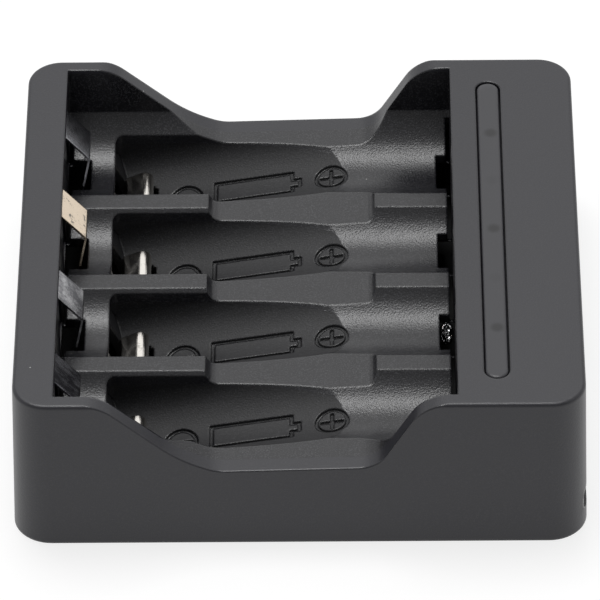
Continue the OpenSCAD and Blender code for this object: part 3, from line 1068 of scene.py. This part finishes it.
@dataclass
class Contacts:
    """The sprung and the fixed contacts of the bays."""

    bays: int = 4

    def build(self, frame: dict) -> None:
        """Dresses the contacts."""
        numbers = range(1, self.bays + 1)
        dress(frame, (f"aaa_contact_{i}" for i in numbers), NickelStrip())
        # The photograph shows each of the four leaves differently worn.
        leaves = (
            NickelStrip("nickel_strip_fresh", "#c4c4ca", "#9a9aa0", 0.16),
            NickelStrip("nickel_strip_warm", "#d6c6b1", "#6e6961", cloud=1.3, worn=(0.56, 0.63)),
            NickelStrip(
                "nickel_strip_dull", "#b4b4b6", "#6c6c70", 0.2, cloud=1.8, worn=(0.36, 0.6)
            ),
            NickelStrip(
                "nickel_strip_rubbed",
                "#b2b2b8",
                "#4d4d53",
                0.2,
                cloud=1.5,
                worn=(0.4, 0.56),
                lean=(0.35, 1.0, 0.35),
            ),
        )
        for i, finish in zip(numbers, leaves):
            dress(frame, [f"aa_contact_{i}"], finish)
        # The fixed contacts are written dark as painted shade, for the shade deep in their
        # windows.
        dark = NickelStrip("nickel_strip_painted_shade", "#39383a", "#242425", 0.3)
        dress(frame, (f"plus_contact_{i}" for i in numbers), dark)


@dataclass(frozen=True)
class Lead:
    """One sort of flat lead, which steps down from its part to the board.

    Out holds how far from the part the lead bends down, meets the board and ends.
    """

    out: Point
    top: float
    width: float
    thickness: float

    def path(self, board: float) -> list[tuple[float, float]]:
        """Lists how far out and how high the lead's points lie, from the part to its end."""
        bend, foot, end = self.out
        return [(0.0, self.top), (bend, self.top), (foot, board), (end, board)]


@dataclass
class Electronics:
    """The circuit board and what stands on it."""

    bays: int = 4
    lamps: int = 5
    pitch: float = 16.6
    board_z: float = 2.9
    chip_lead: Lead = Lead((0.4, 0.7, 1.3), 3.8, 0.4, 0.15)
    chip_y: float = 4.1
    chip_step: float = 1.27
    leg: Lead = Lead((0.4, 0.7, 1.4), 3.7, 0.7, 0.2)
    leg_x: float = 11.35
    leg_step: float = 2.3
    tab: Lead = Lead((0.4, 0.7, 1.4), 3.7, 3.0, 0.2)
    tab_x: float = 12.5
    pin_ends: tuple[float, float] = (32.2, 35.3)
    pin_y: float = -30.325
    pin_z: float = 4.16
    pin_step: float = 0.65
    plus_x: float = 21.8
    plus_step: float = 2.2
    lamp_x: tuple[float, float] = (23.6, 27.6)
    end_gap: float = 0.1
    tin_place: Point = (19.75, 1.7, 3.0)
    tin_half: Point = (0.9, 2.3, 0.5)

    def build(self, frame: dict) -> None:
        """Dresses the board and its parts, and grows their legs and joints."""
        # Solder mask, printed black: matte, and nearly lost in the dark of the windows.
        dress(frame, ["circuit_board"], PlainFinish("solder_mask_black", "#0d0e0f", 0.85))
        parts = ["charge_controller", "inductor", "capacitor_1", "capacitor_2", "usb_tongue"]
        parts += [f"bay_transistor_{i + 1}" for i in range(self.bays)]
        # Filled epoxy, moulded: dark grey with a satin face.
        dress(frame, parts, PlainFinish("moulded_epoxy_black", "#252527", 0.5))
        # Copper leads, dipped in tin: pale and satin.
        tinned = PlainFinish("tinned_copper_leads", "#b4b3b0", 0.28, metallic=1.0)
        for row in self.rows():
            row.build(tinned)
        # Tin solder, melted on: brighter and smoother than the leads.
        solder = PlainFinish("tin_solder_reflowed", "#b9b8b4", 0.2, metallic=1.0)
        SolderJoints("solder_joints", self.joints()).build(solder)
        # Tin, crumpled: bright, so that its creases flash.
        tin = PlainFinish("tin_crinkled", "#d4d4d6", 0.12, metallic=1.0, edge_r=0.02)
        CrinkledTin("crinkled_tin", self.tin_place, self.tin_half).build(tin)

    def rows(self) -> list[StripRow]:
        """Lists the chips' legs and the socket's pins.

        Returns:
            The rows, each with its strips' run from the part to the board.
        """
        low, high = box_mm("charge_controller")
        chip, leg, tab = self.chip_lead, self.leg, self.tab
        left, right = (
            [(x + side * out, self.chip_y, z) for out, z in chip.path(self.board_z)]
            for x, side in ((low[0], -1), (high[0], 1))
        )
        low, high = box_mm("bay_transistor_1")
        front = [(self.leg_x, low[1] - out, z) for out, z in leg.path(self.board_z)]
        back = [(self.tab_x, high[1] + out, z) for out, z in tab.path(self.board_z)]
        pin = [(x, self.pin_y, self.pin_z) for x in self.pin_ends]
        down = (0.0, -self.pitch, 0.0)
        # Some runs are turned round, so that the strip's thickness lies above the board.
        return [
            StripRow(
                "controller_legs",
                [left, right[::-1]],
                across=(0.0, chip.width, 0.0),
                thickness=chip.thickness,
                count=4,
                step=(0.0, self.chip_step, 0.0),
            ),
            StripRow(
                "transistor_legs",
                [front[::-1]],
                across=(leg.width, 0.0, 0.0),
                thickness=leg.thickness,
                count=3,
                step=(self.leg_step, 0.0, 0.0),
                rows=self.bays,
                row_step=down,
            ),
            StripRow(
                "transistor_tabs",
                [back],
                across=(tab.width, 0.0, 0.0),
                thickness=tab.thickness,
                count=1,
                step=(0.0, 0.0, 0.0),
                rows=self.bays,
                row_step=down,
            ),
            StripRow(
                "socket_pins",
                [pin],
                across=(0.0, 0.25, 0.0),
                thickness=0.1,
                count=5,
                step=(0.0, self.pin_step, 0.0),
            ),
        ]

    def joints(self) -> list[Point]:
        """Lists where leads are soldered to the board.

        Returns:
            The places of the joints, in millimetres.
        """
        found = []
        for i in range(1, self.bays + 1):
            low, high = box_mm(f"plus_contact_{i}")
            middle = (low[1] + high[1]) / 2
            found += [(self.plus_x, middle + y) for y in (-self.plus_step, 0.0, self.plus_step)]
        for i in range(1, self.lamps + 1):
            low, high = box_mm(f"led_{i}")
            found += [(x, (low[1] + high[1]) / 2) for x in self.lamp_x]
        for part in ("inductor", "capacitor_1", "capacitor_2"):
            low, high = box_mm(part)
            ends = (low[0] - self.end_gap, high[0] + self.end_gap)
            found += [(x, (low[1] + high[1]) / 2) for x in ends]
        return [(x, y, self.board_z) for x, y in found]


@dataclass
class Hardware:
    """The steel shell of the inlet socket and the cover screws."""

    screws: int = 4

    def build(self, frame: dict) -> None:
        """Dresses the steel parts."""
        # Steel, zinc-plated: cool grey and fairly bright.
        steel = PlainFinish("zinc_plated_steel", "#a4a6a8", 0.3, metallic=1.0)
        screws = [f"cover_screw_{i + 1}" for i in range(self.screws)]
        dress(frame, ["usb_socket", *screws], steel)


@dataclass
class Sight:
    """The photograph's camera, worked out from the outline of the case."""

    azimuth: float = 0.53
    elevation: float = 41.0
    roll: float = -0.695
    distance: float = 826.96
    look_z: float = 11.385
    shift: tuple[float, float] = (-0.003, -0.6556)
    lens: float = 370.48
    sensor: float = 36.0
    near: float = 0.05
    far: float = 20.0

    def build(self) -> None:
        """Makes the camera and gives it to the scene. Near and far are in metres."""
        a, t = math.radians(self.azimuth), math.radians(self.roll)
        back = towards(self.azimuth, self.elevation)
        right = Vector((math.cos(a), math.sin(a), 0))
        up = back.cross(right)
        across = right * math.cos(t) + up * math.sin(t)
        above = up * math.cos(t) - right * math.sin(t)
        place = (
            Vector((0, 0, self.look_z))
            + across * self.shift[0]
            + above * self.shift[1]
            + back * self.distance
        )
        data = bpy.data.cameras.new("photo_camera")
        data.lens, data.sensor_width = self.lens, self.sensor
        data.clip_start, data.clip_end = self.near, self.far
        camera = bpy.data.objects.new("photo_camera", data)
        turn = Matrix((across, above, back)).transposed().to_4x4()
        camera.matrix_world = Matrix.Translation(place * MM) @ turn
        bpy.context.scene.collection.objects.link(camera)
        bpy.context.scene.camera = camera


@dataclass(frozen=True)
class Softbox:
    """One square lamp that faces the object, its distance and size in metres."""

    name: str
    azimuth: float
    elevation: float
    distance: float
    size: float
    watts: float

    def build(self) -> None:
        """Makes the lamp."""
        back = towards(self.azimuth, self.elevation)
        data = bpy.data.lights.new(self.name, "AREA")
        data.size, data.energy = self.size, self.watts
        lamp = bpy.data.objects.new(self.name, data)
        lamp.location = back * self.distance
        lamp.rotation_mode = "QUATERNION"
        lamp.rotation_quaternion = back.to_track_quat("Z", "Y")
        bpy.context.scene.collection.objects.link(lamp)


@dataclass
class Studio:
    """Plain pale floor, soft lamps and a pale world.

    The floor is a size in metres wide, and lies a gap in millimetres below the object's foot, so
    that the two are not in one plane. Mirrored front is the world's strength in a reflection
    from ahead, which is reached at the first of the two values of front to back.
    """

    floor_size: float = 30.0
    floor_gap: float = 0.02
    floor_colour: str = "#9e9e9e"
    floor_glow: float = 0.74
    world_strength: float = 0.6
    mirrored_front: float = 0.4
    front_to_back: tuple[float, float] = (-0.8, 0.1)
    boxes: list[Softbox] = field(
        default_factory=lambda: [
            Softbox("top_softbox", 200, 77, 0.9, 0.36, 3.3),
            Softbox("back_softbox", 180, 41, 1.5, 1.2, 1.9),
        ]
    )

    def build(self) -> None:
        """Makes the floor, the lamps and the world."""
        self._floor()
        for box in self.boxes:
            box.build()
        self._world()
        bpy.context.scene.view_settings.view_transform = "Standard"

    @staticmethod
    def _seen(tree: bpy.types.NodeTree) -> Socket:
        """Adds the test for rays that show the background.

        Args:
            tree: The node tree.

        Returns:
            The socket that is 1 for camera, glossy and transmission rays.
        """
        rays = add_node(tree, "ShaderNodeLightPath").outputs
        one = add_node(
            tree,
            "ShaderNodeMath",
            {0: rays["Is Camera Ray"], 1: rays["Is Glossy Ray"]},
            operation="MAXIMUM",
        )
        return add_node(
            tree,
            "ShaderNodeMath",
            {0: one.outputs[0], 1: rays["Is Transmission Ray"]},
            operation="MAXIMUM",
        ).outputs[0]

    def _floor(self) -> None:
        """Makes the floor, which glows a little to the eye so that it reads as white."""
        half, low = self.floor_size / 2, -self.floor_gap * MM
        corners = [(-half, -half, low), (half, -half, low), (half, half, low), (-half, half, low)]
        mesh = bpy.data.meshes.new("floor")
        mesh.from_pydata(corners, [], [(0, 1, 2, 3)])
        floor = bpy.data.objects.new("floor", mesh)
        bpy.context.scene.collection.objects.link(floor)
        # Matte paper: no gloss, so that it keeps only the object's shadow.
        material = bpy.data.materials.new("floor_paper")
        material.use_nodes = True
        tree = material.node_tree
        tree.nodes.clear()
        paper = add_node(tree, "ShaderNodeBsdfDiffuse", {"Color": linear(self.floor_colour)})
        strength = add_node(
            tree,
            "ShaderNodeMath",
            {0: self._seen(tree), 1: self.floor_glow},
            operation="MULTIPLY",
        )
        glow = add_node(tree, "ShaderNodeEmission", {"Strength": strength.outputs[0]})
        both = add_node(
            tree, "ShaderNodeAddShader", {0: paper.outputs[0], 1: glow.outputs[0]}
        )
        add_node(tree, "ShaderNodeOutputMaterial", {"Surface": both.outputs[0]})
        mesh.materials.append(material)

    def _world(self) -> None:
        """Makes the world: white to the eye, and a soft even light for the rest.

        In a reflection it is white behind the object and dimmer in front, as a room is.
        """
        world = bpy.data.worlds.new("pale_world")
        world.use_nodes = True
        tree = world.node_tree
        tree.nodes.clear()
        way = add_node(tree, "ShaderNodeTexCoord").outputs["Object"]
        along = add_node(tree, "ShaderNodeSeparateXYZ", {0: way}).outputs["Y"]
        front, back = self.front_to_back
        room = add_node(
            tree,
            "ShaderNodeMapRange",
            {
                "Value": along,
                "From Min": front,
                "From Max": back,
                "To Min": self.mirrored_front,
                "To Max": 1.0,
            },
        ).outputs["Result"]
        soft = add_node(
            tree, "ShaderNodeMix", {0: self._seen(tree), 2: self.world_strength, 3: room}
        ).outputs[0]
        eye = add_node(tree, "ShaderNodeLightPath").outputs["Is Camera Ray"]
        strength = add_node(tree, "ShaderNodeMix", {0: eye, 2: soft, 3: 1.0}).outputs[0]
        light = add_node(tree, "ShaderNodeBackground", {"Strength": strength})
        add_node(tree, "ShaderNodeOutputWorld", {"Surface": light.outputs[0]})
        bpy.context.scene.world = world


def main() -> None:
    """Builds the camera, the object's finishes and pieces, and the studio, in that order."""
    logging.basicConfig(level=logging.INFO, format="%(name)s: %(message)s")
    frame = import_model()
    Sight().build()
    for part in (CaseMouldings(), LightBar(), Contacts(), Electronics(), Hardware()):
        part.build(frame)
        LOG.info("built %s", type(part).__name__)
    Studio().build()


if __name__ == "__main__":
    main()
